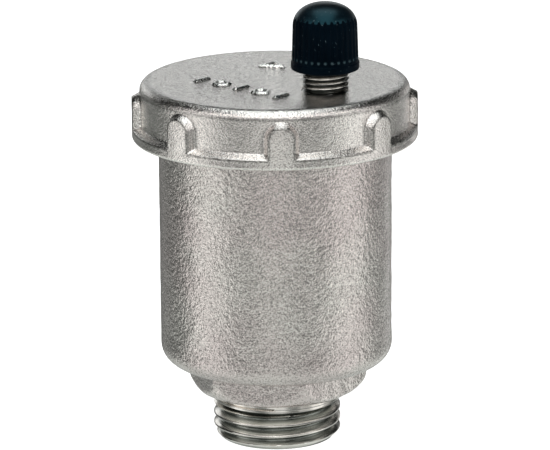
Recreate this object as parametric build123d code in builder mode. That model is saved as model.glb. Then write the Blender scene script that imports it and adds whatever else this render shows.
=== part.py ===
from build123d import *
import math
import os

# Automatic air vent, G 1/2, with a screwed cover and a capped side valve.
# Millimetres, +Z up, origin on the body axis at the end face of the inlet thread.
# +X points from the body axis to the valve stem in the cover.

os.makedirs("parts", exist_ok=True)

CUT_PAST = 0.01           # how far a cut runs past the face that it opens
CUT_WIDE = 1.0            # how far a cut reaches beyond the metal that it clears
EDGE = 0.3                # small edge chamfer

# ---------------------------------------------------------------- body
THREAD_R = 10.4775        # G 1/2 major radius
THREAD_END_R = 9.3        # lead-in chamfer at the thread end
THREAD_LEAD = 1.2
BORE_R = 7.0
COLLAR_Z = 7.83           # underside of the hexagon collar
SHOULDER_R = 15.09
SHOULDER_Z = 11.36
SHOULDER_RISE = 0.7       # slope of the corner rounding beyond the shoulder
HEX_AF = 26.8
HEX_R = HEX_AF / math.sqrt(3)
BODY_Z = 13.1             # underside of the float chamber
BODY_R = 19.05
BODY_CORNER = 3.0
CHAMBER_R = 17.0
CHAMBER_Z = 15.5
CHAMBER_CORNER = 1.6
COVER_THREAD_R = 19.95    # outside thread that carries the cover
COVER_THREAD_Z = 51.6
COVER_THREAD_LEAD = 0.5
RIM_Z = 57.55
BORE_EDGE = 0.6
RING_GROOVE_RI = 17.7
RING_GROOVE_RO = 19.3
RING_GROOVE_Z = 56.3
RING_CLEAR = 0.06         # the ring is drawn this clear of the faces it seals

# ---------------------------------------------------------------- cover
COVER_Z = 50.75
COVER_TOP = 60.15
COVER_PLATE_Z = 57.85     # underside of the cover plate
COVER_BORE_R = 20.03
WALL_R = 22.0
TOP_EDGE_R = 20.9
TOP_EDGE_Z = 59.29
BAND_R = 23.3
LEDGE_Z = 53.2
BAND_TOP_Z = 52.5
BAND_EDGE = 0.5
LUGS = 8
LUG_W = 5.3
LUG_FOOT_R = 21.5
LUG_TOP_Z = 58.4
LUG_ROOT_Z = 51.75        # where the lugs die into the lower band
LUG_TAPER = 20
MARK_H = 0.35
MARK_W = 0.7
MARK_SIZE = 3.2
MARK_PITCH = 4.3
MARK_ROW_Y = -8.0
MARK_TRIANGLE_X = -6.8
MARK_TRIANGLE_Y = 7.2
MARK_TRIANGLE_R = 2.56
MARK_TRIANGLE_RI = 1.16

# ---------------------------------------------------------------- valve stem and cap
STEM_X = 11.0
STEM_R = 3.85
STEM_TOP = 68.8
STEM_BORE_R = 1.5
STEM_HOLE_R = 3.9
FLANGE_R = 5.4
FLANGE_Z = 55.4
FLANGE_TOP = 57.8
STEM_GROOVE_R = 5.03
STEM_GROOVE_DEPTH = 0.85
STEM_RING_R = 4.45
STEM_RING_Z = 57.39
STEM_RING_WIRE_R = 0.38
STEM_EDGE = 0.5
STEM_BORE_Z = 56.3
NOZZLE_Z = 54.2
NOZZLE_R = 1.3
NOZZLE_EDGE = 0.35
ORIFICE_R = 0.6
BOSS_R = 2.38
BOSS_Z = 54.6

CAP_Z = 63.65
CAP_TOP = 74.5
CAP_FLANGE_R = 5.515
CAP_FLANGE_Z = 65.0
CAP_FOOT_R = 5.35
CAP_SHOULDER_R = 5.2
CAP_SHOULDER_Z = 70.6
CAP_SIDE_SLOPE = (-0.02, 1)
CAP_DOME = (              # radius and height of points on the dome
    (5.12, 71.5),
    (4.7, 72.5),
    (3.75, 73.5),
    (2.0, 74.28),
)
CAP_EDGE = 0.2
CAP_STEP = 0.1            # slope from the flange to the foot of the grip
CAP_BORE_R = 3.92
CAP_CEILING = 72.8
FLUTES = 30
FLUTE_R = 0.36
FLUTE_RING_R = 5.45       # the flutes are cut round this circle
FLUTE_Z = 65.6
FLUTE_TOP = 72.8
CAP_SEAL_R = 3.8
CAP_SEAL_Z = 71.8
CAP_SEAL_CLEAR = 0.05
CAP_SEAL_EDGE = 0.2

# ---------------------------------------------------------------- valve cage and obturator
CAGE_Z = 47.0
CAGE_TOP = 55.35
CAGE_RO = 3.4
CAGE_RI = 2.4
PIN_Z = 51.6              # height of the lever's three pins at rest
EAR_Y0 = 2.6
EAR_Y1 = 3.7
EAR_H = 3.0
SLOT_RISE = 0.25          # the pin slots reach this far above the rest height
SLOT_LENGTH = 0.9
SLOT_W = 1.2
WINDOW_W = 1.6
WINDOW_H = 1.4
WINDOW_Z = 53.6
HOLDER_R = 2.3
HOLDER_Z = 50.6
HOLDER_TOP = 53.2
SEAL_R = 1.7
SEAL_Z = 52.6
SEAL_TOP = 53.7
SEAL_EDGE = 0.15
STEM_PIN_R = 0.5
STEM_PIN_EDGE = 0.12
RETAINER_T = 0.8
RETAINER_RI = 1.1
SPRING_R = 1.7
SPRING_WIRE = 0.2
SPRING_TURNS = 4
SPRING_CLEAR = 0.02

# ---------------------------------------------------------------- lever
FULCRUM_X = 14.2
PIVOT_R = 0.75
LEVER_H = 3.0
LEVER_Y0 = 4.0
LEVER_Y1 = 4.8
LEVER_WEB_X0 = 2.4
LEVER_WEB_X1 = 6.4
LEVER_WEB_T = 0.6
LEVER_SLOT = 0.5          # play of the obturator pin along the lever
PIN_PLAY = 0.06
PIN_HEAD_R = 1.3
PIN_HEAD_T = 0.5
CLIP_Y = 5.0
CLIP_T = 0.4
CLIP_R = 1.4
PIN_NECK_R = 0.5
PIN_TIP = 0.4
CLIP_PLAY = 0.03
CLIP_MOUTH = 0.8

# ---------------------------------------------------------------- float
FLOAT_R = 15.0
FLOAT_T = 0.8
FLOAT_Z = 20.0
FLOAT_TOP = 44.2
FLOAT_CORNER = 2.0
FLOAT_BASE_T = 1.0
FLOAT_RIB_H = 1.2
YOKE_R = 1.6
YOKE_Y0 = 2.5
YOKE_Y1 = 3.7
YOKE_BASE_T = 1.0
YOKE_FOOT_R = 5.7

stem_axis = Axis((STEM_X, 0, 0), (0, 0, 1))


# ---------------------------------------------------------------- body
# Turned and bored envelope of the spigot and the float chamber.
with BuildPart() as body:
    with BuildSketch(Plane.XZ):
        with BuildLine():
            Polyline(
                (BORE_R, 0),
                (THREAD_END_R, 0),
                (THREAD_R, THREAD_LEAD),
                (THREAD_R, BODY_Z),
                (BODY_R - BODY_CORNER, BODY_Z),
            )
            RadiusArc(
                (BODY_R - BODY_CORNER, BODY_Z),
                (BODY_R, BODY_Z + BODY_CORNER),
                -BODY_CORNER,
            )
            Polyline(
                (BODY_R, BODY_Z + BODY_CORNER),
                (BODY_R, COVER_THREAD_Z - COVER_THREAD_LEAD),
                (COVER_THREAD_R, COVER_THREAD_Z),
                (COVER_THREAD_R, RIM_Z - EDGE),
                (COVER_THREAD_R - EDGE, RIM_Z),
                (RING_GROOVE_RO, RIM_Z),
                (RING_GROOVE_RO, RING_GROOVE_Z),
                (RING_GROOVE_RI, RING_GROOVE_Z),
                (RING_GROOVE_RI, RIM_Z),
                (CHAMBER_R, RIM_Z),
                (CHAMBER_R, CHAMBER_Z + CHAMBER_CORNER),
            )
            RadiusArc(
                (CHAMBER_R, CHAMBER_Z + CHAMBER_CORNER),
                (CHAMBER_R - CHAMBER_CORNER, CHAMBER_Z),
                CHAMBER_CORNER,
            )
            Polyline(
                (CHAMBER_R - CHAMBER_CORNER, CHAMBER_Z),
                (BORE_R + BORE_EDGE, CHAMBER_Z),
                (BORE_R, CHAMBER_Z - BORE_EDGE),
                (BORE_R, 0),
            )
        make_face()
    revolve(axis=Axis.Z)
    # Hexagon collar for the spanner, its corners rounded off underneath.
    with BuildSketch(Plane.XY.offset(COLLAR_Z)):
        RegularPolygon(HEX_R, 6, rotation=30)
        Circle(BORE_R + CUT_WIDE, mode=Mode.SUBTRACT)
    extrude(amount=BODY_Z - COLLAR_Z)
    with BuildSketch(Plane.XZ):
        with BuildLine():
            EllipticalCenterArc(
                (THREAD_R, SHOULDER_Z),
                SHOULDER_R - THREAD_R,
                SHOULDER_Z - COLLAR_Z,
                start_angle=270,
                arc_size=90,
            )
            Polyline(
                (SHOULDER_R, SHOULDER_Z),
                (SHOULDER_R + CUT_WIDE, SHOULDER_Z + SHOULDER_RISE),
                (SHOULDER_R + CUT_WIDE, COLLAR_Z - CUT_PAST),
                (THREAD_R, COLLAR_Z - CUT_PAST),
                (THREAD_R, COLLAR_Z),
            )
        make_face()
    revolve(axis=Axis.Z, mode=Mode.SUBTRACT)
body.part.label = "body"
export_step(body.part, "parts/body.step")


# ---------------------------------------------------------------- cover
lug_arch_z = LUG_TOP_Z - LUG_W / 2
with BuildPart() as cover:
    with BuildSketch(Plane.XZ):
        with BuildLine():
            Polyline(
                (0, COVER_PLATE_Z),
                (0, COVER_TOP),
                (TOP_EDGE_R, COVER_TOP),
                (WALL_R, TOP_EDGE_Z),
                (WALL_R, LEDGE_Z),
                (BAND_R, BAND_TOP_Z),
                (BAND_R, COVER_Z + BAND_EDGE),
                (BAND_R - BAND_EDGE, COVER_Z),
                (COVER_BORE_R + EDGE, COVER_Z),
                (COVER_BORE_R, COVER_Z + EDGE),
                (COVER_BORE_R, COVER_PLATE_Z),
                (0, COVER_PLATE_Z),
            )
        make_face()
    revolve(axis=Axis.Z)
    # Arch-shaped spanner lugs, drafted, their faces flush with the lower band.
    for i in range(LUGS):
        angle = 2 * math.pi * i / LUGS
        lug_plane = Plane(
            origin=(LUG_FOOT_R * math.cos(angle), LUG_FOOT_R * math.sin(angle), 0),
            x_dir=(-math.sin(angle), math.cos(angle), 0),
            z_dir=(math.cos(angle), math.sin(angle), 0),
        )
        with BuildSketch(lug_plane):
            with Locations((0, lug_arch_z)):
                Circle(LUG_W / 2)
            with Locations((0, (lug_arch_z + LUG_ROOT_Z) / 2)):
                Rectangle(LUG_W, lug_arch_z - LUG_ROOT_Z)
        extrude(amount=BAND_R + EDGE - LUG_FOOT_R, taper=LUG_TAPER)
    with BuildSketch(Plane.XY.offset(COVER_Z)):
        Circle(BAND_R)
    extrude(amount=COVER_TOP - COVER_Z, mode=Mode.INTERSECT)
    # Threaded hole for the valve stem.
    with BuildSketch(Plane.XY.offset(COVER_PLATE_Z)):
        with Locations((STEM_X, 0)):
            Circle(STEM_HOLE_R)
    extrude(amount=COVER_TOP - COVER_PLATE_Z, mode=Mode.SUBTRACT)
    # Raised plain marks on the top face: a row of bars and rings, and a triangle.
    with BuildSketch(Plane.XY.offset(COVER_TOP)):
        with Locations((0, MARK_ROW_Y)):
            with GridLocations(2 * MARK_PITCH, 1, 3, 1):
                Rectangle(MARK_W, MARK_SIZE)
            with GridLocations(2 * MARK_PITCH, 1, 2, 1):
                RegularPolygon(MARK_SIZE / 2, 6)
                RegularPolygon(MARK_SIZE / 2 - MARK_W, 6, mode=Mode.SUBTRACT)
        with Locations((MARK_TRIANGLE_X, MARK_TRIANGLE_Y)):
            RegularPolygon(MARK_TRIANGLE_R, 3)
            RegularPolygon(MARK_TRIANGLE_RI, 3, mode=Mode.SUBTRACT)
    extrude(amount=MARK_H)
cover.part.label = "cover"
export_step(cover.part, "parts/cover.step")


# Seal ring in the rim groove, drawn just clear of the groove and of the cover plate.
ring_centre_r = (RING_GROOVE_RI + RING_GROOVE_RO) / 2
with BuildPart() as cover_oring:
    with BuildSketch(Plane.XZ):
        with Locations((ring_centre_r, (RING_GROOVE_Z + COVER_PLATE_Z) / 2)):
            Circle((COVER_PLATE_Z - RING_GROOVE_Z) / 2 - RING_CLEAR)
    revolve(axis=Axis.Z)
cover_oring.part.label = "cover_oring"
export_step(cover_oring.part, "parts/cover_oring.step")


# ---------------------------------------------------------------- valve stem
with BuildPart() as vent_nipple:
    with BuildSketch(Plane.XZ):
        with BuildLine():
            Polyline(
                (STEM_X + ORIFICE_R, NOZZLE_Z),
                (STEM_X + NOZZLE_R - NOZZLE_EDGE, NOZZLE_Z),
                (STEM_X + NOZZLE_R, BOSS_Z),
                (STEM_X + BOSS_R, BOSS_Z),
                (STEM_X + BOSS_R, FLANGE_Z),
                (STEM_X + FLANGE_R, FLANGE_Z),
                (STEM_X + FLANGE_R, FLANGE_TOP),
                (STEM_X + STEM_GROOVE_R, FLANGE_TOP),
                (STEM_X + STEM_GROOVE_R, FLANGE_TOP - STEM_GROOVE_DEPTH),
                (STEM_X + STEM_R, FLANGE_TOP - STEM_GROOVE_DEPTH),
                (STEM_X + STEM_R, STEM_TOP - STEM_EDGE),
                (STEM_X + STEM_R - STEM_EDGE, STEM_TOP),
                (STEM_X + STEM_BORE_R + EDGE, STEM_TOP),
                (STEM_X + STEM_BORE_R, STEM_TOP - EDGE),
                (STEM_X + STEM_BORE_R, STEM_BORE_Z),
                (STEM_X + ORIFICE_R, FLANGE_Z),
                (STEM_X + ORIFICE_R, NOZZLE_Z),
            )
        make_face()
    revolve(axis=stem_axis)
vent_nipple.part.label = "vent_nipple"
export_step(vent_nipple.part, "parts/vent_nipple.step")

with BuildPart() as nipple_oring:
    with BuildSketch(Plane.XZ):
        with Locations((STEM_X + STEM_RING_R, STEM_RING_Z)):
            Circle(STEM_RING_WIRE_R)
    revolve(axis=stem_axis)
nipple_oring.part.label = "nipple_oring"
export_step(nipple_oring.part, "parts/nipple_oring.step")


# ---------------------------------------------------------------- valve cage
# Guide barrel pushed onto the stem's boss, with two ears for the fulcrum pin.
with BuildPart() as valve_cage:
    with BuildSketch(Plane.XZ):
        with Locations(((STEM_X + FULCRUM_X) / 2, PIN_Z)):
            SlotCenterToCenter(FULCRUM_X - STEM_X, EAR_H)
    extrude(amount=EAR_Y1, both=True)
    with BuildSketch(Plane.XZ):
        with Locations(((STEM_X + FULCRUM_X) / 2, PIN_Z)):
            Rectangle(4 * EAR_H, 2 * EAR_H)
    extrude(amount=EAR_Y0, both=True, mode=Mode.SUBTRACT)
    with BuildSketch(Plane.XY.offset(CAGE_Z)):
        with Locations((STEM_X, 0)):
            Circle(CAGE_RO)
    extrude(amount=CAGE_TOP - CAGE_Z)
    with BuildSketch(Plane.XY.offset(CAGE_Z)):
        with Locations((STEM_X, 0)):
            Circle(CAGE_RI)
    extrude(amount=CAGE_TOP - CAGE_Z, mode=Mode.SUBTRACT)
    # Pin slots across the barrel, and the fulcrum hole.
    with BuildSketch(Plane.XZ):
        with Locations((STEM_X, PIN_Z + SLOT_RISE)):
            SlotCenterToCenter(SLOT_LENGTH, SLOT_W, rotation=90)
        with Locations((FULCRUM_X, PIN_Z)):
            Circle(PIVOT_R)
    extrude(amount=EAR_Y1 + CUT_WIDE, both=True, mode=Mode.SUBTRACT)
    # Side windows that let the air out of the barrel to the nozzle.
    with BuildSketch(Plane.YZ.offset(STEM_X - CAGE_RO - CUT_WIDE)):
        with Locations((0, WINDOW_Z)):
            Rectangle(WINDOW_W, WINDOW_H)
    extrude(amount=CAGE_RO, mode=Mode.SUBTRACT)
valve_cage.part.label = "valve_cage"
export_step(valve_cage.part, "parts/valve_cage.step")


# ---------------------------------------------------------------- obturator
with BuildPart() as obturator_holder:
    with BuildSketch(Plane.XZ):
        with BuildLine():
            Polyline(
                (STEM_X, HOLDER_Z),
                (STEM_X + HOLDER_R, HOLDER_Z),
                (STEM_X + HOLDER_R, HOLDER_TOP),
                (STEM_X + SEAL_R, HOLDER_TOP),
                (STEM_X + SEAL_R, SEAL_Z),
                (STEM_X, SEAL_Z),
                (STEM_X, HOLDER_Z),
            )
        make_face()
    revolve(axis=stem_axis)
    with BuildSketch(Plane.XZ):
        with Locations((STEM_X, PIN_Z)):
            Circle(STEM_PIN_R)
    extrude(amount=HOLDER_R + CUT_WIDE, both=True, mode=Mode.SUBTRACT)
obturator_holder.part.label = "obturator_holder"
export_step(obturator_holder.part, "parts/obturator_holder.step")

with BuildPart() as obturator_seal:
    with BuildSketch(Plane.XY.offset(SEAL_Z)):
        with Locations((STEM_X, 0)):
            Circle(SEAL_R)
    extrude(amount=SEAL_TOP - SEAL_Z)
    chamfer(obturator_seal.edges().group_by(Axis.Z)[-1], SEAL_EDGE)
obturator_seal.part.label = "obturator_seal"
export_step(obturator_seal.part, "parts/obturator_seal.step")

with BuildPart() as obturator_pin:
    with BuildSketch(Plane.XZ):
        with Locations((STEM_X, PIN_Z)):
            Circle(STEM_PIN_R)
    extrude(amount=CLIP_Y + CLIP_T, both=True)
    chamfer(obturator_pin.edges().filter_by(GeomType.CIRCLE), STEM_PIN_EDGE)
obturator_pin.part.label = "obturator_pin"
export_step(obturator_pin.part, "parts/obturator_pin.step")

with BuildPart() as spring_retainer:
    with BuildSketch(Plane.XY.offset(CAGE_Z)):
        with Locations((STEM_X, 0)):
            Circle(CAGE_RI)
            Circle(RETAINER_RI, mode=Mode.SUBTRACT)
    extrude(amount=RETAINER_T)
spring_retainer.part.label = "spring_retainer"
export_step(spring_retainer.part, "parts/spring_retainer.step")

spring_z = CAGE_Z + RETAINER_T + SPRING_WIRE + SPRING_CLEAR
spring_height = HOLDER_Z - spring_z - SPRING_WIRE - SPRING_CLEAR
with BuildPart() as obturator_spring:
    with BuildLine() as coil:
        Helix(
            pitch=spring_height / SPRING_TURNS,
            height=spring_height,
            radius=SPRING_R,
            center=(STEM_X, 0, spring_z),
        )
    with BuildSketch(Plane(origin=coil.line @ 0, z_dir=coil.line % 0)):
        Circle(SPRING_WIRE)
    sweep()
obturator_spring.part.label = "obturator_spring"
export_step(obturator_spring.part, "parts/obturator_spring.step")


# ---------------------------------------------------------------- lever
with BuildPart() as lever:
    with BuildSketch(Plane.XZ):
        with Locations((FULCRUM_X / 2, PIN_Z)):
            SlotCenterToCenter(FULCRUM_X, LEVER_H)
    extrude(amount=LEVER_Y1, both=True)
    # The gap between the side plates leaves only the web across their upper edge.
    with BuildSketch(Plane.XZ):
        with Locations((FULCRUM_X / 2, PIN_Z)):
            Rectangle(2 * FULCRUM_X, 2 * LEVER_H)
        with Locations(
            (
                (LEVER_WEB_X0 + LEVER_WEB_X1) / 2,
                PIN_Z + LEVER_H / 2 - LEVER_WEB_T / 2,
            )
        ):
            Rectangle(LEVER_WEB_X1 - LEVER_WEB_X0, LEVER_WEB_T, mode=Mode.SUBTRACT)
    extrude(amount=LEVER_Y0, both=True, mode=Mode.SUBTRACT)
    with BuildSketch(Plane.XZ):
        with Locations((FULCRUM_X, PIN_Z)):
            Circle(PIVOT_R + PIN_PLAY)
        with Locations((0, PIN_Z)):
            Circle(PIVOT_R)
        with Locations((STEM_X, PIN_Z)):
            SlotCenterToCenter(LEVER_SLOT, 2 * (STEM_PIN_R + PIN_PLAY))
    extrude(amount=LEVER_Y1 + CUT_WIDE, both=True, mode=Mode.SUBTRACT)
lever.part.label = "lever"
export_step(lever.part, "parts/lever.step")


def headed_pin(x):
    """A pin along Y at x: a flat head, a plain shank, and a neck for its clip."""
    steps = (
        (PIN_HEAD_R, -CLIP_Y - PIN_HEAD_T, -CLIP_Y),
        (PIVOT_R, -CLIP_Y, CLIP_Y),
        (PIN_NECK_R, CLIP_Y, CLIP_Y + CLIP_T),
        (PIVOT_R, CLIP_Y + CLIP_T, CLIP_Y + CLIP_T + PIN_TIP),
    )
    with BuildPart() as pin:
        for radius, y0, y1 in steps:
            with BuildSketch(Plane((x, y0, PIN_Z), x_dir=(1, 0, 0), z_dir=(0, 1, 0))):
                Circle(radius)
            extrude(amount=y1 - y0)
    return pin


def spring_clip(x):
    """An open washer that snaps into a pin's neck, its mouth downwards."""
    with BuildPart() as clip:
        with BuildSketch(Plane((x, CLIP_Y + CLIP_PLAY, PIN_Z), x_dir=(1, 0, 0), z_dir=(0, 1, 0))):
            Circle(CLIP_R)
            Circle(PIN_NECK_R, mode=Mode.SUBTRACT)
            with Locations((0, CLIP_R / 2)):
                Rectangle(CLIP_MOUTH, CLIP_R, mode=Mode.SUBTRACT)
        extrude(amount=CLIP_T - 2 * CLIP_PLAY)
    return clip


lever_pivot_pin = headed_pin(FULCRUM_X)
lever_pivot_pin.part.label = "lever_pivot_pin"
export_step(lever_pivot_pin.part, "parts/lever_pivot_pin.step")

lever_pivot_clip = spring_clip(FULCRUM_X)
lever_pivot_clip.part.label = "lever_pivot_clip"
export_step(lever_pivot_clip.part, "parts/lever_pivot_clip.step")

float_pin = headed_pin(0)
float_pin.part.label = "float_pin"
export_step(float_pin.part, "parts/float_pin.step")

float_pin_clip = spring_clip(0)
float_pin_clip.part.label = "float_pin_clip"
export_step(float_pin_clip.part, "parts/float_pin_clip.step")


# ---------------------------------------------------------------- float
with BuildPart() as float_shell:
    with BuildSketch(Plane.XZ):
        with BuildLine():
            Polyline(
                (0, FLOAT_TOP - FLOAT_T),
                (0, FLOAT_TOP),
                (FLOAT_R - FLOAT_CORNER, FLOAT_TOP),
            )
            RadiusArc(
                (FLOAT_R - FLOAT_CORNER, FLOAT_TOP),
                (FLOAT_R, FLOAT_TOP - FLOAT_CORNER),
                FLOAT_CORNER,
            )
            Polyline(
                (FLOAT_R, FLOAT_TOP - FLOAT_CORNER),
                (FLOAT_R, FLOAT_Z),
                (FLOAT_R - FLOAT_T, FLOAT_Z),
                (FLOAT_R - FLOAT_T, FLOAT_TOP - FLOAT_CORNER),
            )
            RadiusArc(
                (FLOAT_R - FLOAT_T, FLOAT_TOP - FLOAT_CORNER),
                (FLOAT_R - FLOAT_CORNER, FLOAT_TOP - FLOAT_T),
                FLOAT_T - FLOAT_CORNER,
            )
            Line(
                (FLOAT_R - FLOAT_CORNER, FLOAT_TOP - FLOAT_T),
                (0, FLOAT_TOP - FLOAT_T),
            )
        make_face()
    revolve(axis=Axis.Z)
float_shell.part.label = "float_shell"
export_step(float_shell.part, "parts/float_shell.step")

with BuildPart() as float_base:
    with BuildSketch(Plane.XY.offset(FLOAT_Z)):
        Circle(FLOAT_R - FLOAT_T)
    extrude(amount=FLOAT_BASE_T)
    # Locating rib that centres the base in the shell before welding.
    with BuildSketch(Plane.XY.offset(FLOAT_Z + FLOAT_BASE_T)):
        Circle(FLOAT_R - FLOAT_T)
        Circle(FLOAT_R - 2 * FLOAT_T, mode=Mode.SUBTRACT)
    extrude(amount=FLOAT_RIB_H)
float_base.part.label = "float_base"
export_step(float_base.part, "parts/float_base.step")

with BuildPart() as float_yoke:
    with BuildSketch(Plane.XZ):
        with Locations((0, PIN_Z)):
            Circle(YOKE_R)
        with Locations((0, (PIN_Z + FLOAT_TOP) / 2)):
            Rectangle(2 * YOKE_R, PIN_Z - FLOAT_TOP)
    extrude(amount=YOKE_Y1, both=True)
    with BuildSketch(Plane.XZ):
        with Locations((0, (PIN_Z + FLOAT_TOP) / 2 + YOKE_R + YOKE_BASE_T)):
            Rectangle(4 * YOKE_R, PIN_Z - FLOAT_TOP + 2 * YOKE_R)
    extrude(amount=YOKE_Y0, both=True, mode=Mode.SUBTRACT)
    with BuildSketch(Plane.XY.offset(FLOAT_TOP)):
        Circle(YOKE_FOOT_R)
    extrude(amount=YOKE_BASE_T)
    with BuildSketch(Plane.XZ):
        with Locations((0, PIN_Z)):
            Circle(PIVOT_R + PIN_PLAY)
    extrude(amount=YOKE_Y1 + CUT_WIDE, both=True, mode=Mode.SUBTRACT)
float_yoke.part.label = "float_yoke"
export_step(float_yoke.part, "parts/float_yoke.step")


# ---------------------------------------------------------------- cap
with BuildPart() as vent_cap:
    with BuildSketch(Plane.XZ):
        with BuildLine():
            Polyline(
                (STEM_X, CAP_TOP),
                (STEM_X, CAP_CEILING),
                (STEM_X + CAP_BORE_R, CAP_CEILING),
                (STEM_X + CAP_BORE_R, CAP_Z + EDGE),
                (STEM_X + CAP_BORE_R + EDGE, CAP_Z),
                (STEM_X + CAP_FLANGE_R - CAP_EDGE, CAP_Z),
                (STEM_X + CAP_FLANGE_R, CAP_Z + CAP_EDGE),
                (STEM_X + CAP_FLANGE_R, CAP_FLANGE_Z - CAP_EDGE),
                (STEM_X + CAP_FLANGE_R - CAP_STEP, CAP_FLANGE_Z),
                (STEM_X + CAP_FOOT_R, CAP_FLANGE_Z + CAP_STEP),
                (STEM_X + CAP_SHOULDER_R, CAP_SHOULDER_Z),
            )
            Spline(
                (STEM_X + CAP_SHOULDER_R, CAP_SHOULDER_Z),
                *[(STEM_X + r, z) for r, z in CAP_DOME],
                (STEM_X, CAP_TOP),
                tangents=(CAP_SIDE_SLOPE, (-1, 0)),
            )
        make_face()
    revolve(axis=stem_axis)
    # Grip flutes between the flange and the shoulder.
    with BuildSketch(Plane.XY.offset(FLUTE_Z)):
        with Locations((STEM_X, 0)):
            with PolarLocations(FLUTE_RING_R, FLUTES):
                Circle(FLUTE_R)
    extrude(amount=FLUTE_TOP - FLUTE_Z, mode=Mode.SUBTRACT)
vent_cap.part.label = "vent_cap"
export_step(vent_cap.part, "parts/vent_cap.step")

with BuildPart() as vent_cap_seal:
    with BuildSketch(Plane.XY.offset(CAP_SEAL_Z)):
        with Locations((STEM_X, 0)):
            Circle(CAP_SEAL_R)
    extrude(amount=CAP_CEILING - CAP_SEAL_Z - CAP_SEAL_CLEAR)
    chamfer(vent_cap_seal.edges().group_by(Axis.Z)[0], CAP_SEAL_EDGE)
vent_cap_seal.part.label = "vent_cap_seal"
export_step(vent_cap_seal.part, "parts/vent_cap_seal.step")
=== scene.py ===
import math

import bpy
import numpy as np
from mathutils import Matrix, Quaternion, Vector


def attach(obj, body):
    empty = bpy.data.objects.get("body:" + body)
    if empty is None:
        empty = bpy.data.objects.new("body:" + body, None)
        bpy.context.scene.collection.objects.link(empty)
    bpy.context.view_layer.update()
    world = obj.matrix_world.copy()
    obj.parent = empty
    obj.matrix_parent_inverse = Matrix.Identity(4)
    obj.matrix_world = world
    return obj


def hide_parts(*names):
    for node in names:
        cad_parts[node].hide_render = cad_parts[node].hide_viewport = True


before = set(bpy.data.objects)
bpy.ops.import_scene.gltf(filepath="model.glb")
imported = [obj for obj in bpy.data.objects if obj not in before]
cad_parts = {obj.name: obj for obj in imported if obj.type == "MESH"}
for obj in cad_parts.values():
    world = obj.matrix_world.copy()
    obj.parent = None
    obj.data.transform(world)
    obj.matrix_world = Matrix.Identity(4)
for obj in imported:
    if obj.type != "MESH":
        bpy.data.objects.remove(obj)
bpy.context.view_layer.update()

# Shapes are worked out in mm, and Skin.lathe writes them in metres. Looks, camera and lights are in metres.
MM = 0.001
TURN = 2 * math.pi
COVER_Z = 50.75             # lower edge of the cover
STEM_X = 11.0               # axis of the valve stem and its cap
rng = np.random.default_rng(11)


# ---------------------------------------------------------------- shape helpers
def soft_min(a, b, k):
    """The smaller of two values, with a fillet about k wide where they cross."""
    h = np.maximum(k - np.abs(a - b), 0.0) / k
    return np.minimum(a, b) - h * h * k / 4


def soft_max(a, b, k):
    return -soft_min(-a, -b, k)


def smooth_step(low, high, x):
    t = np.clip((x - low) / (high - low), 0.0, 1.0)
    return t * t * (3 - 2 * t)


def hill(x, middle, width):
    """A bell curve of height 1."""
    return np.exp(-((x - middle) / width) ** 2)


def circle(columns):
    """Evenly spaced angles round an axis."""
    return np.linspace(0, TURN, columns, endpoint=False)


def fillet_points(before, corner, after, radius):
    """Points of the arc that rounds the corner of a profile."""
    a, b = before - corner, after - corner
    a /= np.linalg.norm(a)
    b /= np.linalg.norm(b)
    half = math.acos(np.clip(a @ b, -1, 1)) / 2
    reach = radius / math.tan(half)
    centre = corner + (a + b) / np.linalg.norm(a + b) * radius / math.sin(half)
    turn = math.pi - 2 * half
    count = max(3, int(math.ceil(turn / 0.3)) + 1, int(turn * radius / 0.18) + 1)
    first = math.atan2(*(corner + a * reach - centre)[::-1])
    sweep = math.atan2(*(corner + b * reach - centre)[::-1]) - first
    sweep = (sweep + math.pi) % TURN - math.pi
    angles = [first + sweep * t for t in np.linspace(0, 1, count)]
    return [centre + radius * np.array((math.cos(angle), math.sin(angle))) for angle in angles]


def trace(points):
    """Points along a profile. Each corner is (r, z, fillet radius, spacing of the run after it)."""
    places = [np.array(point[:2], float) for point in points]
    out = []
    for i, (_, _, fillet, _) in enumerate(points):
        corner = [places[i]]
        if fillet and 0 < i < len(points) - 1:
            corner = fillet_points(places[i - 1], places[i], places[i + 1], fillet)
        if out:
            origin = out[-1]
            run = corner[0] - origin
            parts = int(np.linalg.norm(run) / points[i - 1][3])
            out += [origin + run * k / (parts + 1) for k in range(1, parts + 1)]
        out += corner
    return np.array(out)


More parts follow.
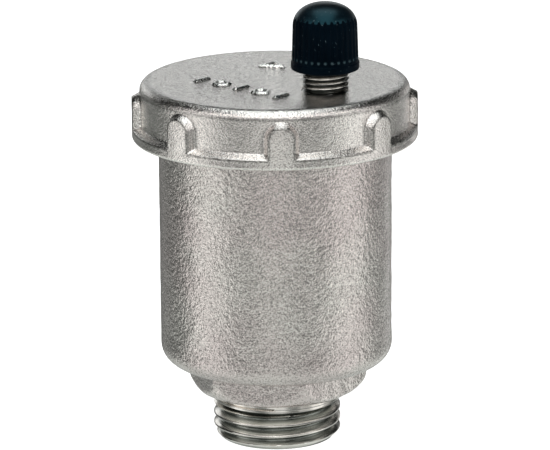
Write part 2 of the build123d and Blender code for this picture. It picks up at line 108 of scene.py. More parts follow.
class Skin:
    """A closed skin of rings round an upright axis, in mm. Each ring has a point at every angle in phi."""

    def __init__(self, phi, axis_x=0.0):
        self.phi, self.axis_x = phi, axis_x
        self.rings = []

    def add(self, r, z, kind=0):
        """Add a ring. kind is the material slot of the faces between it and the next ring."""
        self.rings.append([np.broadcast_to(value, len(self.phi)) for value in (r, z, kind)])

    def lathe(self, name, materials, poles=False):
        """Make the piece. The last ring joins the first or, with poles, each end closes in a point."""
        r, z, kind = np.array(self.rings).transpose(1, 0, 2)
        count, columns = r.shape
        x, y = self.axis_x + r * np.cos(self.phi), r * np.sin(self.phi)
        grid = np.stack((x, y, z), -1).reshape(-1, 3) * MM
        ring = np.arange(count - 1 if poles else count)[:, None]
        column = np.arange(columns)
        here, above = ring * columns, ((ring + 1) % count) * columns
        beside = (column + 1) % columns
        quads = np.stack((here + column, here + beside, above + beside, above + column), -1)
        faces = quads.reshape(-1, 4).tolist()
        kinds = kind[:len(ring)].astype(int).ravel().tolist()
        if poles:
            south, north, top = len(grid), len(grid) + 1, (count - 1) * columns
            grid = np.vstack((grid, [(self.axis_x * MM, 0.0, z[end].mean() * MM) for end in (0, -1)]))
            end_kinds = [kinds[0], kinds[-1]]
            for j in range(columns):
                k = (j + 1) % columns
                faces += [[south, k, j], [north, top + j, top + k]]
                kinds += end_kinds
        corners = grid[np.array([face[:3] for face in faces])]
        volume = np.einsum("ij,ij->i", corners[:, 0], np.cross(corners[:, 1], corners[:, 2])).sum()
        if volume < 0:
            faces = [face[::-1] for face in faces]
        mesh = bpy.data.meshes.new(name)
        mesh.from_pydata(grid.tolist(), [], faces)
        mesh.polygons.foreach_set("material_index", kinds)
        mesh.polygons.foreach_set("use_smooth", [True] * len(faces))
        mesh.update()
        mesh.set_sharp_from_angle(angle=math.radians(50))
        for material in materials:
            mesh.materials.append(material)
        return placed(name, mesh)


def placed(name, data):
    """A new object in the scene."""
    thing = bpy.data.objects.new(name, data)
    bpy.context.scene.collection.objects.link(thing)
    return thing


def store_painted_shade(piece, amounts):
    """Store how much shade is painted on each point of each ring, in the corner attribute."""
    values = np.zeros(len(piece.data.vertices), np.float32)
    values[:np.size(amounts)] = np.ravel(amounts)
    piece.data.attributes.new("corner", "FLOAT", "POINT").data.foreach_set("value", values)


def forged(radius, phi, z, waves, low, high):
    """Uneven surface of a forging: small waves between two lengths, in mm, periodic round the axis."""
    total = np.zeros(np.broadcast(phi, z).shape)
    for _ in range(waves):
        length = rng.uniform(low, high)
        heading = rng.uniform(0, TURN)
        turns = round(TURN * radius / length * math.cos(heading))
        total += np.sin(turns * phi + TURN / length * math.sin(heading) * z + rng.uniform(0, TURN))
    return total / math.sqrt(waves)


def thread(phi, z, crest, depth, pitch, fillet):
    """Radius of a right-handed 55 degree screw thread."""
    phase = (z / pitch - phi / TURN) % 1.0
    sharp = pitch * 0.9605
    height = sharp * (1 - np.abs(2 * phase - 1)) - (sharp - depth) / 2
    height = soft_min(soft_max(height, 0.0, fillet), depth, fillet)
    return crest - depth + height


# ---------------------------------------------------------------- node helpers
class Graph:
    """A node tree and its texture coordinates. Each method adds nodes and returns their output."""

    def __init__(self, tree, coordinates):
        self.nodes, self.links = tree.nodes, tree.links
        self.where = self.nodes.new("ShaderNodeTexCoord").outputs[coordinates]

    def noise(self, scale, detail, rough, stretch=None):
        vector = self.where
        if stretch:
            mapping = self.nodes.new("ShaderNodeMapping")
            mapping.inputs["Scale"].default_value = stretch
            self.links.new(vector, mapping.inputs["Vector"])
            vector = mapping.outputs["Vector"]
        node = self.nodes.new("ShaderNodeTexNoise")
        node.inputs["Scale"].default_value = scale
        node.inputs["Detail"].default_value = detail
        node.inputs["Roughness"].default_value = rough
        self.links.new(vector, node.inputs["Vector"])
        return node.outputs["Fac"]

    def ramp(self, factor, *stops):
        """A colour ramp with a stop for each (position, colour)."""
        node = self.nodes.new("ShaderNodeValToRGB")
        elements = node.color_ramp.elements
        elements.remove(elements[-1])
        elements[0].position = stops[0][0]
        elements[0].color = (*stops[0][1], 1)
        for position, colour in stops[1:]:
            elements.new(position).color = (*colour, 1)
        self.links.new(factor, node.inputs["Fac"])
        return node.outputs["Color"]

    def span(self, value, low, high, to_low, to_high):
        """The value carried over from one range to another, without going past its ends."""
        node = self.nodes.new("ShaderNodeMapRange")
        node.inputs["From Min"].default_value = low
        node.inputs["From Max"].default_value = high
        node.inputs["To Min"].default_value = to_low
        node.inputs["To Max"].default_value = to_high
        self.links.new(value, node.inputs["Value"])
        return node.outputs["Result"]

    def bump(self, height, distance, strength, before=None):
        node = self.nodes.new("ShaderNodeBump")
        node.inputs["Strength"].default_value = strength
        node.inputs["Distance"].default_value = distance
        self.links.new(height, node.inputs["Height"])
        if before is not None:
            self.links.new(before, node.inputs["Normal"])
        return node.outputs["Normal"]

    def mixed(self, factor, a, b):
        """Colour a where the factor is 0, and colour b where it is 1."""
        node = self.nodes.new("ShaderNodeMix")
        node.data_type = "RGBA"
        for socket, value in ((0, factor), (6, a), (7, b)):     # by number: several sockets share a name
            self.links.new(value, node.inputs[socket])
        return node.outputs[2]

    def times(self, a, b):
        node = self.nodes.new("ShaderNodeMath")
        node.operation = "MULTIPLY"
        self.links.new(a, node.inputs[0])
        self.links.new(b, node.inputs[1])
        return node.outputs[0]

    def attribute(self, name):
        node = self.nodes.new("ShaderNodeAttribute")
        node.attribute_name = name
        return node.outputs["Fac"]

    def height(self):
        axes = self.nodes.new("ShaderNodeSeparateXYZ")
        self.links.new(self.where, axes.inputs[0])
        return axes.outputs["Z"]

    def radius(self, axis_x):
        """Distance from an upright axis through (axis_x, 0)."""
        from_axis = self.nodes.new("ShaderNodeMapping")
        from_axis.inputs["Location"].default_value = (-axis_x, 0, 0)
        from_axis.inputs["Scale"].default_value = (1, 1, 0)
        self.links.new(self.where, from_axis.inputs["Vector"])
        length = self.nodes.new("ShaderNodeVectorMath")
        length.operation = "LENGTH"
        self.links.new(from_axis.outputs["Vector"], length.inputs[0])
        return length.outputs["Value"]


class Look(Graph):
    """A Principled material."""

    def __init__(self, name, metallic=0.0):
        self.material = bpy.data.materials.new(name)
        self.material.use_nodes = True
        super().__init__(self.material.node_tree, "Object")
        self.inputs = self.nodes["Principled BSDF"].inputs
        self.inputs["Metallic"].default_value = metallic

    def finish(self, colour, roughness, normal):
        self.links.new(colour, self.inputs["Base Color"])
        self.links.new(roughness, self.inputs["Roughness"])
        self.links.new(normal, self.inputs["Normal"])
        return self.material


def shade(tone, colour):
    return tuple(min(1.0, tone * c) for c in colour)


# ---------------------------------------------------------------- looks
def blasted_nickel(name, grain, depth, swell, rough, tone, pink, flecks, marks_z=None):
    """Nickel plate over a shot-blasted forging.

    The pebbly grain is dark in its hollows and pale on its tops, by the two factors in flecks. Lumps about
    twice as wide are swell times as deep. The plate has dull and greenish patches, and shade is painted in
    where the mesh's corner attribute is set. Marks that rise above marks_z are painted bright as a highlight,
    and the face round them is mottled.
    """
    look = Look(name, metallic=1.0)
    pebble = look.noise(1 / grain, 2.0, 0.55)
    lumps = look.noise(0.45 / grain, 2.0, 0.5)
    patch = look.noise(170, 3.0, 0.6)
    cloud = look.noise(55, 2.0, 0.5)
    light = shade(tone, (1.0, 0.955 - 0.5 * pink, 0.915 - 0.4 * pink))
    dull = shade(tone * 0.86, (1.0, 0.92 - 1.5 * pink, 0.90 - 1.1 * pink))
    green = shade(tone * 0.97, (0.98, 0.965, 0.91))
    hollow = shade(tone * flecks[0], (1.0, 0.96, 0.92))
    top = shade(tone * flecks[1], (1.0, 0.95, 0.915))
    plate = look.ramp(cloud, (0.36, green), (0.46, light), (0.58, dull))
    grained = look.ramp(pebble, (0.33, hollow), (0.48, light), (0.66, top))
    colour = look.mixed(look.span(pebble, 0.40, 0.56, 0.85, 0.5), plate, grained)
    # Painted shade, grainy, dark where the corner attribute is set.
    black = shade(tone * 0.08, (1.0, 1.0, 0.95))
    brown = shade(tone * 0.60, (1.0, 0.98, 0.92))
    painted_shade = look.ramp(pebble, (0.42, black), (0.62, brown))
    colour = look.mixed(look.attribute("corner"), colour, painted_shade)
    if marks_z:
        height = look.height()
        stain = shade(tone * 0.56, (1.0, 0.99, 0.95))
        blotch = look.noise(1900, 3.0, 0.65)
        mottle = look.ramp(blotch, (0.38, stain), (0.50, light), (0.62, (1.0, 0.99, 0.97)))
        on_face = look.span(height, marks_z - 0.0010, marks_z - 0.0002, 0.0, 0.55)
        colour = look.mixed(on_face, colour, mottle)
        # Painted highlight on the tops of the raised marks.
        painted_glint = look.ramp(pebble, (0.3, (0.90, 0.88, 0.84)), (0.5, (1.0, 0.99, 0.96)))
        on_marks = look.span(height, marks_z, marks_z + 0.0001, 0.0, 1.0)
        colour = look.mixed(on_marks, colour, painted_glint)
    relief = look.bump(pebble, depth, 1.0, look.bump(lumps, depth * swell, 1.0))
    return look.finish(colour, look.span(patch, 0.3, 0.7, rough - 0.05, rough + 0.07), relief)


def turned_nickel(name, rough, tone, axis_x, root, crest, root_shade_tone):
    """Machined and plated metal with turning lines, clean at the crest's radius, with painted shade at the
    root's.
    """
    look = Look(name, metallic=1.0)
    lines = look.noise(1.0, 3.0, 0.6, (120, 120, 5200))
    scores = look.noise(1.0, 2.0, 0.6, (60, 60, 3300))
    smear = look.noise(260, 3.0, 0.6)
    clean = shade(tone, (1.0, 0.965, 0.92))
    dull = shade(tone * 0.72, (1.0, 0.95, 0.88))
    dark = shade(tone * 0.26, (1.0, 0.98, 0.94))
    plate = look.ramp(smear, (0.35, dull), (0.6, clean))
    scored = look.ramp(scores, (0.38, dark), (0.50, clean))
    plate = look.mixed(look.span(scores, 0.42, 0.53, 0.95, 0.0), plate, scored)
    # Painted shade in the thread's roots, set by the distance from the axis.
    pale = shade(root_shade_tone * tone, (0.90, 1.0, 0.92))
    deep = shade(root_shade_tone * tone, (0.60, 0.66, 0.60))
    root_shade = look.span(look.radius(axis_x), root, crest, 1.0, 0.0)
    colour = look.mixed(root_shade, plate, look.ramp(smear, (0.3, pale), (0.7, deep)))
    roughness = look.span(lines, 0.3, 0.7, rough - 0.08, rough + 0.1)
    return look.finish(colour, roughness, look.bump(lines, 0.000020, 0.9))


def brushed_steel(name, rough, tone, stretch):
    """Steel with fine lines, which lie closest together along the axis that is stretched most."""
    look = Look(name, metallic=1.0)
    lines = look.noise(1.0, 3.0, 0.6, stretch)
    cloud = look.noise(400, 2.0, 0.5)
    dull, clean = shade(tone, (0.84, 0.84, 0.85)), shade(tone, (1.0, 1.0, 0.99))
    colour = look.ramp(cloud, (0.35, dull), (0.62, clean))
    roughness = look.span(lines, 0.3, 0.7, rough - 0.07, rough + 0.09)
    return look.finish(colour, roughness, look.bump(lines, 0.000008, 0.7))


def cap_dust_and_glints(look, colour):
    """The cap's colour with specks of dust, and with a painted highlight dot at the foot of each flute."""
    low = look.span(look.height(), 0.0656, 0.0659, 1.0, 0.0)
    in_flute = look.span(look.radius(STEM_X * MM), 0.00510, 0.00526, 1.0, 0.0)
    specks = look.noise(2600, 1.0, 0.5)
    dust_and_glint = look.ramp(specks, (0.4, (0.032, 0.058, 0.066)), (0.8, (0.055, 0.076, 0.086)))
    # Painted highlight: a pale dot at the foot of each flute, where its scoop faces up.
    colour = look.mixed(look.times(low, in_flute), colour, dust_and_glint)
    return look.mixed(look.span(specks, 0.71, 0.77, 0.0, 1.0), colour, dust_and_glint)


def moulded(name, dark, pale, rough, grain, depth, dust_and_glints=False):
    """Moulded plastic or rubber, clouded between two colours."""
    look = Look(name)
    cloud = look.noise(180, 3.0, 0.55)
    colour = look.ramp(cloud, (0.35, dark), (0.68, pale))
    if dust_and_glints:
        colour = cap_dust_and_glints(look, colour)
    relief = look.bump(look.noise(1 / grain, 3.0, 0.6), depth, 0.8)
    return look.finish(colour, look.span(cloud, 0.3, 0.7, rough - 0.06, rough + 0.08), relief)


def cap_moulding(name, dark, pale, rough, specular):
    """The cap's moulded plastic, which reflects a blue tint."""
    material = moulded(name, dark, pale, rough, 0.00016, 0.000012, dust_and_glints=True)
    inputs = material.node_tree.nodes["Principled BSDF"].inputs
    inputs["Specular IOR Level"].default_value = specular
    inputs["Specular Tint"].default_value = (0.22, 0.78, 1.0, 1)
    return material


body_metal = blasted_nickel("body_nickel", 0.00030, 0.00011, 1.7, 0.14, 0.79, 0.05, (0.52, 1.24))
cover_metal = blasted_nickel(
    "cover_nickel", 0.00025, 0.000085, 0.5, 0.15, 0.94, 0.0, (0.54, 1.13), marks_z=0.06026,
)
thread_metal = turned_nickel("thread_nickel", 0.20, 1.0, 0.0, 0.0092, 0.01015, 0.26)
stem_metal = turned_nickel("stem_nickel", 0.20, 0.98, STEM_X * MM, 0.0034, 0.00384, 0.06)
sheet_steel = brushed_steel("sheet_steel", 0.32, 0.58, (700, 700, 9000))
pin_steel = brushed_steel("pin_steel", 0.25, 0.60, (9000, 700, 9000))
wire_steel = brushed_steel("wire_steel", 0.30, 0.52, (3000, 3000, 3000))
cap_plastic = cap_moulding("cap_plastic", (0.0005, 0.0013, 0.0034), (0.0012, 0.0030, 0.0066), 0.42, 0.05)
# The dome's copy is glossier, and its slightly paler colour is a painted sheen.
cap_gloss = cap_moulding("cap_gloss", (0.0006, 0.0016, 0.0036), (0.0016, 0.0040, 0.0072), 0.34, 0.52)
float_plastic = moulded("float_plastic", (0.66, 0.64, 0.58), (0.76, 0.75, 0.70), 0.42, 0.0004, 0.00002)
seal_rubber = moulded("seal_rubber", (0.010, 0.010, 0.010), (0.022, 0.021, 0.020), 0.6, 0.00025, 0.00002)

looks = [
    (body_metal, ["body"]),
    (cover_metal, ["cover"]),
    (stem_metal, ["vent_nipple", "obturator_holder"]),
    (sheet_steel, ["valve_cage", "spring_retainer", "lever"]),
    (pin_steel, ["lever_pivot_pin", "float_pin", "obturator_pin"]),
    (wire_steel, ["obturator_spring", "lever_pivot_clip", "float_pin_clip"]),
    (cap_plastic, ["vent_cap"]),
    (float_plastic, ["float_shell", "float_base", "float_yoke"]),
    (seal_rubber, ["cover_oring", "nipple_oring", "vent_cap_seal", "obturator_seal"]),
]
for look_material, node_names in looks:
    for node_name in node_names:
        for material_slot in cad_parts[node_name].material_slots:
            material_slot.material = look_material


# ---------------------------------------------------------------- body
BORE_R = 7.0
INLET_R, INLET_DEPTH, INLET_PITCH = 10.4775, 1.162, 1.8143      # G 1/2
INLET_END_R = 9.38
RUN_OUT_R, RUN_OUT_Z = 9.30, 6.05                               # groove above the inlet thread
NICK_R, NICK_Z = 10.05, 7.05                                    # thin groove part of the way round
NICK_END, NICK_SWEEP = math.radians(-50.0), math.radians(150)
COLLAR_Z, COLLAR_FLARE = 7.83, 0.3
HEX_AF, HEX_EDGE = 26.8, 0.5
SHOULDER_R, SHOULDER_Z, SHOULDER_SLOPE = 15.09, 11.36, 0.7      # rounded lower edge of the collar
BODY_Z, BODY_R, BODY_CORNER = 13.1, 19.05, 3.0
SIDE_TOP_Z = 51.1
RIM_R, RIM_DEPTH, RIM_PITCH = 19.95, 0.9, 1.5                   # thread under the cover
RIM_FOOT_R, RIM_FOOT_Z = 19.6, 51.5
RIM_EDGE_R, RIM_Z = 19.65, 57.55
RING_IN_R, RING_OUT_R, RING_Z = 17.7, 19.3, 56.3                # groove of the ring
CHAMBER_R, CHAMBER_Z = 17.0, 15.5
FORGED, TURNED = 0, 1

phi = circle(320)
hexagon = HEX_AF / 2 / np.cos((phi + math.pi / 6) % (math.pi / 3) - math.pi / 6)
beside_nick = (NICK_END - phi) % TURN < NICK_SWEEP
body = Skin(phi)

inlet_end = [
    (BORE_R, 0.6, 0, 9), (BORE_R, 0.25, 0, 9), (BORE_R + 0.25, 0.0, 0, 0.9), (INLET_END_R, 0.0, 0, 9),
]
for r, z in trace(inlet_end):
    body.add(r, z, TURNED)
for z in np.arange(0.06, COLLAR_Z - 0.04, 0.091):
    screw = thread(phi, z, INLET_R, INLET_DEPTH, INLET_PITCH, 0.1) if z < RUN_OUT_Z else INLET_R
    lead = INLET_END_R + 0.1 + z * 0.86
    run_out = RUN_OUT_R + max(0.0, abs(z - RUN_OUT_Z) - 0.10) * 3.4
    nick = NICK_R + max(0.0, abs(z - NICK_Z) - 0.03) * 3.0
    r = soft_min(soft_min(screw, lead, 0.12), run_out, 0.08)
    body.add(np.where(beside_nick, soft_min(r, nick, 0.06), r), z, TURNED)

under = forged(14.0, phi, 0.0, 14, 2.0, 7.0) * 0.04
for angle in np.linspace(0.0, 1.0, 15) * math.pi / 2:
    r = INLET_R + (SHOULDER_R - INLET_R) * math.sin(angle)
    z = SHOULDER_Z - (SHOULDER_Z - COLLAR_Z) * math.cos(angle)
    body.add(soft_min(hexagon, r, HEX_EDGE) + under * math.sin(angle), z, FORGED)
for t in np.linspace(0.0, 1.0, 7)[1:]:
    z = SHOULDER_Z + (BODY_Z - COLLAR_FLARE - SHOULDER_Z) * t
    r = SHOULDER_R + (z - SHOULDER_Z) / SHOULDER_SLOPE
    body.add(soft_min(hexagon, r, HEX_EDGE) + under, z, FORGED)
edge = soft_min(hexagon, SHOULDER_R + 2.0, HEX_EDGE) + under
for angle in np.linspace(0, math.pi / 2, 4)[1:]:
    z = BODY_Z - COLLAR_FLARE + COLLAR_FLARE * math.sin(angle)
    body.add(edge + COLLAR_FLARE * (1 - np.cos(angle)), z, FORGED)
inner, outer = edge + COLLAR_FLARE, BODY_R - BODY_CORNER + 0.05
for t in (0.5, 1.0):
    body.add(inner + (outer - inner) * t, BODY_Z, FORGED)
for angle in np.linspace(0, math.pi / 2, 11)[1:]:
    r = BODY_R - BODY_CORNER + BODY_CORNER * math.sin(angle)
    body.add(r, BODY_Z + BODY_CORNER * (1 - math.cos(angle)), FORGED)

side_z = np.linspace(BODY_Z + BODY_CORNER, SIDE_TOP_Z, 84)[1:]
uneven = forged(BODY_R, phi[None, :], side_z[:, None], 50, 1.6, 4.5) * 0.016
uneven += forged(BODY_R, phi[None, :], side_z[:, None], 12, 6.0, 16.0) * 0.035
fade = smooth_step(0, 2.5, side_z - side_z[0]) * smooth_step(0, 2.0, side_z[-1] - side_z)
for z, wave, amount in zip(side_z, uneven, fade):
    body.add(BODY_R + (wave - 0.05) * amount, z, FORGED)

body.add(RIM_FOOT_R, RIM_FOOT_Z, TURNED)
for z in np.arange(RIM_FOOT_Z + 0.1, RIM_Z - 0.03, 0.13):
    beside_groove = RIM_R - RIM_DEPTH + 0.57 * smooth_step(55.3, 56.15, z)      # clear of the ring's groove
    screw = soft_max(thread(phi, z, RIM_R, RIM_DEPTH, RIM_PITCH, 0.14), beside_groove, 0.1)
    lead = RIM_FOOT_R + (z - RIM_FOOT_Z) * 0.8
    chamfer = RIM_EDGE_R + RIM_Z - z
    body.add(soft_min(soft_min(screw, lead, 0.1), chamfer, 0.1), z, TURNED)
rim_and_chamber = [
    (RIM_EDGE_R - 0.03, RIM_Z, 0, 9), (RING_OUT_R, RIM_Z, 0, 9), (RING_OUT_R, RING_Z, 0.12, 9),
    (RING_IN_R, RING_Z, 0.12, 9), (RING_IN_R, RIM_Z, 0, 9), (CHAMBER_R, RIM_Z, 0.1, 5),
    (CHAMBER_R, CHAMBER_Z, 1.6, 3), (BORE_R + 0.6, CHAMBER_Z, 0, 9), (BORE_R, CHAMBER_Z - 0.6, 0, 3),
    (BORE_R, 1.5, 0, 9),
]
for r, z in trace(rim_and_chamber):
    body.add(r, z, TURNED)


def body_painted_shade(r, z):
    """Painted shadow close under the cover and painted shade close above the collar."""
    under_cover = 0.60 * hill(z, COVER_Z + 0.15, 1.1) * (r > BODY_R - 0.55) * (z < 51.0)
    above_collar = 0.22 * hill(z, BODY_Z + 0.9, 0.9) * (r > 15.5)
    return np.maximum(under_cover, above_collar)


body_piece = body.lathe("body_shell", (body_metal, thread_metal))
r, z, _ = np.array(body.rings).transpose(1, 0, 2)
store_painted_shade(body_piece, body_painted_shade(r, z))
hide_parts("body")
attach(body_piece, "body")


# ---------------------------------------------------------------- cover
COVER_TOP = 60.15
COVER_BORE_R = 20.03
PLATE_Z = 57.85             # underside of the top plate
WALL_R = 22.0
LEDGE_Z = 53.2
BAND_R, BAND_TOP_Z = 23.3, 52.5
LUGS = 8
LUG_STEP = TURN / LUGS
LUG_W, LUG_FOOT_R, LUG_ARCH_Z = 5.3, 22.0, 55.75
LUG_TAPER = math.tan(math.radians(27))
LUG_HALF_DEG = 7.4          # the columns are closer together this far to each side of a lug's middle
MARK_R, MARK_STEP, MARK_ROW_Y = 1.6, 4.3, -8.0
MARK_H = 0.35
DRILL_R = 3.9
FORGED, BORED = 0, 1

near = np.linspace(-LUG_HALF_DEG, LUG_HALF_DEG, 41)
far = np.linspace(LUG_HALF_DEG, 360 / LUGS - LUG_HALF_DEG, 21)[1:-1]
sector = np.radians(np.concatenate((near, far)))
phi = np.concatenate([sector + k * LUG_STEP for k in range(LUGS)])
offset = (phi + LUG_STEP / 2) % LUG_STEP - LUG_STEP / 2


def lug(z):
    """Radius of the arch-shaped lugs' drafted skin at a height."""
    across = WALL_R * np.sin(offset)
    reach = np.hypot(across, max(0.0, z - LUG_ARCH_Z))
    return (LUG_FOOT_R + (LUG_W / 2 - reach) / LUG_TAPER) / np.cos(offset)


def ngon(x, y, radius, sides):
    """Distance outside a regular polygon with a corner at +X."""
    apothem = radius * math.cos(math.pi / sides)
    turns = [(k + 0.5) * TURN / sides for k in range(sides)]
    return np.max([x * math.cos(t) + y * math.sin(t) for t in turns], 0) - apothem


def ngon_ring(x, y, outer, inner, sides):
    """Distance outside a polygon with a hole of the same form."""
    return np.maximum(ngon(x, y, outer, sides), -ngon(x, y, inner, sides))


def marks(x, y):
    """Height of the plain raised marks: bars and rings in a row, and a triangle."""
    row = y - MARK_ROW_Y
    shapes = [np.maximum(np.abs(x - k * MARK_STEP) - 0.35, np.abs(row) - MARK_R) for k in (-2, 0, 2)]
    shapes += [ngon_ring(x - k * MARK_STEP, row, MARK_R, 0.9, 6) for k in (-1, 1)]
    shapes.append(ngon_ring(x + 6.8, y - 7.2, 2.56, 1.16, 3))
    return MARK_H * smooth_step(0.12, -0.14, np.min(shapes, 0))


def outside(r, z):
    """Whether a point of the profile is on the cover's wall, above its lower edge."""
    return r > 21.0 and z > COVER_Z + 0.6


def cover_painted_shade(r, z):
    """Painted shade round the lugs, at their feet, along the ledge, under the upper edge and round the top.
    """
    if z > 59.4:
        return hill(r, 20.75, 0.5)
    if not outside(r, z):
        return 0.0
    pad_edge = 0.85 * hill(lug(z), BAND_R + 0.15, 0.42) * (z > BAND_TOP_Z)
    foot_line = 0.45 * hill(lug(z), r - 0.22, 0.25) * (z > LEDGE_Z + 0.3)
    ledge_line = 0.8 * hill(z, BAND_TOP_Z - 0.12, 0.13) * (lug(z) < BAND_R)
    lines = np.max((pad_edge, foot_line, ledge_line), 0) * (z < 58.5)
    return np.maximum(lines, 0.6 * hill(z, 58.7, 0.2))


profile = trace([
    (1.5, PLATE_Z, 0, 4.0), (COVER_BORE_R, PLATE_Z, 0.4, 1.5), (COVER_BORE_R, COVER_Z + 0.3, 0, 9),
    (COVER_BORE_R + 0.3, COVER_Z, 0, 1.0), (BAND_R, COVER_Z, 0.55, 0.5), (BAND_R, BAND_TOP_Z, 0.22, 0.5),
    (WALL_R, LEDGE_Z, 0.3, 0.45), (WALL_R, 55.3, 0, 0.13), (WALL_R, COVER_TOP, 1.5, 0.5),
    (19.4, COVER_TOP, 0, 1.2), (14.2, COVER_TOP, 0, 0.22), (6.2, COVER_TOP, 0, 0.9),
    (0.8, COVER_TOP, 0, 9),
])
uneven = forged(WALL_R, phi[None, :], profile[:, 1][:, None], 40, 1.8, 5.0) * 0.014
cover = Skin(phi)
for (r, z), wave in zip(profile, uneven):
    radius, height = r, z
    if outside(r, z):
        radius = soft_max(r, np.minimum(lug(z), BAND_R + 1.0), 0.22)
        radius = soft_min(radius, BAND_R, 0.2)
        radius = np.minimum(radius + (wave - 0.02) * (1.0 if z < 59 else 0.4), BAND_R)
    if z > COVER_TOP - 0.001:
        height = z + marks(r * np.cos(phi), r * np.sin(phi))
    in_bore = r < COVER_BORE_R + 0.5 and z < PLATE_Z + 0.01
    cover.add(radius, height, BORED if in_bore else FORGED)
cover_piece = cover.lathe("cover_shell", (cover_metal, thread_metal), poles=True)
store_painted_shade(cover_piece, [np.broadcast_to(cover_painted_shade(r, z), len(phi)) for r, z in profile])

drill_skin = Skin(circle(96), STEM_X)
for z in (56.0, 62.0):
    drill_skin.add(DRILL_R, z)
drill = drill_skin.lathe("drill", (), poles=True)
cut = cover_piece.modifiers.new("stem_hole", "BOOLEAN")
cut.operation = "DIFFERENCE"
cut.solver = "EXACT"
cut.object = drill
graph = bpy.context.evaluated_depsgraph_get()
drilled = bpy.data.meshes.new_from_object(cover_piece.evaluated_get(graph))
cover_piece.modifiers.clear()
cover_piece.data = drilled
bpy.data.objects.remove(drill)
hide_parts("cover")
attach(cover_piece, "cover")


# ---------------------------------------------------------------- valve stem
STEM_R, STEM_DEPTH, STEM_PITCH = 3.85, 0.5, 0.8
STEM_ROOT_R = STEM_R - STEM_DEPTH
STEM_TOP = 68.8
UNDERCUT_Z = 60.3
AIR_R = 1.5
FLANGE_R, FLANGE_Z, FLANGE_TOP = 5.4, 55.4, 57.8
RECESS_R, RECESS_Z = 5.03, 56.95            # recess of the ring in the flange
BOSS_R, BOSS_Z = 2.38, 54.6
NOZZLE_R, NOZZLE_Z = 0.6, 54.2

stem = Skin(circle(144), STEM_X)
nozzle_and_flange = [
    (NOZZLE_R, FLANGE_Z, 0, 9), (NOZZLE_R, NOZZLE_Z, 0, 9), (0.95, NOZZLE_Z, 0, 9), (1.3, BOSS_Z, 0, 9),
    (BOSS_R, BOSS_Z, 0, 9), (BOSS_R, FLANGE_Z, 0, 9), (FLANGE_R, FLANGE_Z, 0.15, 9),
    (FLANGE_R, FLANGE_TOP, 0.1, 9), (RECESS_R, FLANGE_TOP, 0, 9), (RECESS_R, RECESS_Z, 0, 9),
    (STEM_R, RECESS_Z, 0, 9), (STEM_R, FLANGE_TOP, 0, 9),
]
for r, z in trace(nozzle_and_flange):
    stem.add(r, z)
for z in np.arange(FLANGE_TOP + 0.1, STEM_TOP - 0.02, 0.07):
    screw = thread(stem.phi, z, STEM_R, STEM_DEPTH, STEM_PITCH, 0.07)
    lead = STEM_ROOT_R + STEM_TOP - z
    undercut = STEM_ROOT_R + max(0.0, abs(z - UNDERCUT_Z) - 0.12) * 3
    stem.add(soft_min(soft_min(screw, lead, 0.06), undercut, 0.05), z)
for r, z in trace([(3.3, STEM_TOP, 0, 0.7), (1.8, STEM_TOP, 0, 9), (AIR_R, 68.5, 0, 3), (AIR_R, 56.3, 0, 9)]):
    stem.add(r, z)
stem_piece = stem.lathe("stem_thread", (stem_metal,))
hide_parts("vent_nipple")
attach(stem_piece, "cover")


# ---------------------------------------------------------------- cap
CAP_Z, CAP_TOP = 63.65, 74.5
CAP_BORE_R, CAP_BORE_TOP = 3.92, 72.8
CAP_FLANGE_R, CAP_FLANGE_TOP = 5.515, 64.85
CAP_SHOULDER_R, CAP_SHOULDER_Z = 5.2, 70.6
DOME_POWER = 2 / 2.2        # the dome is a superellipse
FLUTES = 30
FLUTE_R, FLUTE_Z = 0.36, 65.25
FLUTE_RING_R = 5.45         # the flutes' axes stand on this circle
FLUTE_LEAN, LEAN_FROM_Z, LEAN_TO_Z = 0.30, 70.3, 72.6
GLOSS_Z = 71.9              # above it the dome shines between the flutes
GRIP, GLOSS = 0, 1

phi = circle(FLUTES * 14)
step = TURN / FLUTES
sideways = FLUTE_RING_R * np.sin((phi + step / 2) % step - step / 2)
inward = FLUTE_RING_R * np.cos((phi + step / 2) % step - step / 2)


def grip(r, z):
    """Radius of the skirt with its scooped flutes, which lean in with the dome."""
    rise = np.clip(z - FLUTE_Z, 0.0, FLUTE_R)
    scoop = math.sqrt(max(0.0, FLUTE_R ** 2 - (FLUTE_R - rise) ** 2))
    chord = np.sqrt(np.maximum(0.0, scoop ** 2 - sideways ** 2))
    flute = np.where(chord > 0, inward - chord, 9.0) - FLUTE_LEAN * smooth_step(LEAN_FROM_Z, LEAN_TO_Z, z)
    return soft_min(r, flute, 0.07)


cap = Skin(phi, STEM_X)
skirt = trace([
    (1.0, CAP_BORE_TOP, 0, 1.5), (CAP_BORE_R, CAP_BORE_TOP, 0.2, 3.0), (CAP_BORE_R, CAP_Z + 0.3, 0, 9),
    (CAP_BORE_R + 0.3, CAP_Z, 0, 0.7), (CAP_FLANGE_R, CAP_Z, 0.35, 0.4),
    (CAP_FLANGE_R, CAP_FLANGE_TOP, 0.18, 9), (5.37, CAP_FLANGE_TOP + 0.12, 0.08, 0.1),
    (5.347, FLUTE_Z - 0.05, 0, 0.06), (5.33, 66.2, 0, 0.4), (CAP_SHOULDER_R, CAP_SHOULDER_Z, 0, 9),
])
for r, z in skirt:
    cap.add(grip(r, z) if z > FLUTE_Z and r > 4.5 else r, z, GRIP)
for t in np.linspace(0, math.pi / 2, 36)[1:-1]:
    r = CAP_SHOULDER_R * math.cos(t) ** DOME_POWER
    z = CAP_SHOULDER_Z + (CAP_TOP - CAP_SHOULDER_Z) * math.sin(t) ** DOME_POWER
    past_flute = (grip(r, z) > r - 0.02) & (z > GLOSS_Z)
    cap.add(grip(r, z), z, np.where(past_flute, GLOSS, GRIP))
cap_piece = cap.lathe("cap_grip", (cap_plastic, cap_gloss), poles=True)
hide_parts("vent_cap")
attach(cap_piece, "vent_cap")


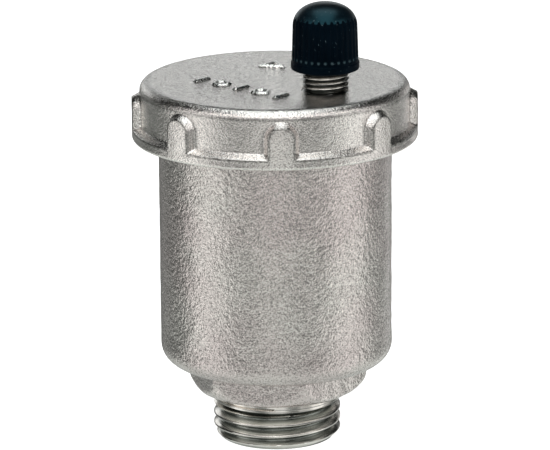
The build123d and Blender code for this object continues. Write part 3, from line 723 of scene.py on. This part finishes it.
# ---------------------------------------------------------------- camera
TARGET = Vector((0, 0, 0.038))
DISTANCE = 0.650
ELEVATION, ROLL = math.radians(15.36), math.radians(-0.449)
UP = Vector((0, 0, 1))
to_camera = Vector((0.6743, -0.7385, 0)).normalized()
to_right = Vector((0.7385, 0.6743, 0)).normalized()

camera_data = bpy.data.cameras.new("camera")
camera_data.lens = 259.75
camera_data.sensor_width = 36
camera_data.shift_x = -0.0011
camera_data.shift_y = -0.0257
camera_data.clip_start = 0.01
camera = placed("camera", camera_data)
camera.location = TARGET + DISTANCE * (to_camera * math.cos(ELEVATION) + UP * math.sin(ELEVATION))
aim = (TARGET - camera.location).to_track_quat("-Z", "Y")
camera.rotation_mode = "QUATERNION"
camera.rotation_quaternion = aim @ Quaternion(UP, ROLL)
bpy.context.scene.camera = camera


# ---------------------------------------------------------------- floor and light
FLOOR_HALF = 30
BOX_DISTANCE = 0.5
WARM, COOL, BLUISH = (1.0, 0.99, 0.975), (0.98, 1.0, 1.0), (0.96, 1.0, 1.0)

floor_corners = [(x * FLOOR_HALF, y * FLOOR_HALF, 0) for x, y in ((-1, -1), (1, -1), (1, 1), (-1, 1))]
floor_mesh = bpy.data.meshes.new("floor")
floor_mesh.from_pydata(floor_corners, [], [(0, 1, 2, 3)])
floor = placed("floor", floor_mesh)
floor_look = Look("floor")
floor_look.inputs["Base Color"].default_value = (0.85, 0.85, 0.85, 1)
floor_look.inputs["Roughness"].default_value = 0.9
floor_look.inputs["Specular IOR Level"].default_value = 0.0
floor_look.inputs["Emission Color"].default_value = (1, 1, 1, 1)
floor_look.inputs["Emission Strength"].default_value = 0.90
floor_mesh.materials.append(floor_look.material)
floor.visible_glossy = False
floor.visible_shadow = False


def grey(value):
    return (value * 0.95, value, value * 0.96)


world = bpy.data.worlds.new("studio")
bpy.context.scene.world = world
world.use_nodes = True
studio = Graph(world.node_tree, "Generated")
sky = studio.ramp(
    studio.span(studio.height(), -1.0, 1.0, 0.0, 1.0),
    (0.22, grey(0.64)), (0.36, grey(0.12)), (0.51, grey(0.12)), (0.55, grey(0.03)), (1.0, grey(0.02)),
)
background = studio.nodes["Background"]
studio.links.new(sky, background.inputs["Color"])
background.inputs["Strength"].default_value = 1.0


def softbox(name, around, elevation, wide, high, radiance, tint=WARM):
    """A soft light facing the body, placed and sized in degrees. around goes to the camera's right."""
    a, e = math.radians(around), math.radians(elevation)
    direction = (to_camera * math.cos(a) + to_right * math.sin(a)) * math.cos(e) + UP * math.sin(e)
    data = bpy.data.lights.new(name, "AREA")
    data.shape = "RECTANGLE"
    data.size = 2 * BOX_DISTANCE * math.tan(math.radians(wide / 2))
    data.size_y = 2 * BOX_DISTANCE * math.tan(math.radians(high / 2))
    data.energy = radiance * math.pi * data.size * data.size_y
    data.color = tint
    lamp = placed(name, data)
    lamp.location = TARGET + direction * BOX_DISTANCE
    lamp.rotation_mode = "QUATERNION"
    lamp.rotation_quaternion = (-direction).to_track_quat("-Z", "Y")
    lamp.visible_camera = False


softbox("left_box", -75, -10, 23, 50, 0.93)
softbox("left_fill", -52, -10, 23, 50, 0.32)
softbox("front_box", 0, -10, 34, 50, 0.44)
softbox("right_fill", 52, -10, 23, 50, 0.30)
softbox("right_box", 78, -10, 26, 50, 0.82)
softbox("right_edge", 100, -10, 18, 50, 0.25)
softbox("back_left", -150, -10, 23, 50, 0.13)
softbox("back_right", 150, -10, 23, 50, 0.50)
softbox("back_box", 192, 14, 55, 20, 0.86, COOL)
softbox("high_left", -45, 32, 56, 26, 1.22)
softbox("high_middle", 0, 32, 32, 26, 1.30)
softbox("high_right", 48, 32, 56, 26, 1.18)
softbox("top_box", 0, 82, 46, 72, 1.50, BLUISH)

bpy.context.scene.view_settings.view_transform = "Standard"
bpy.context.scene.view_settings.look = "None"
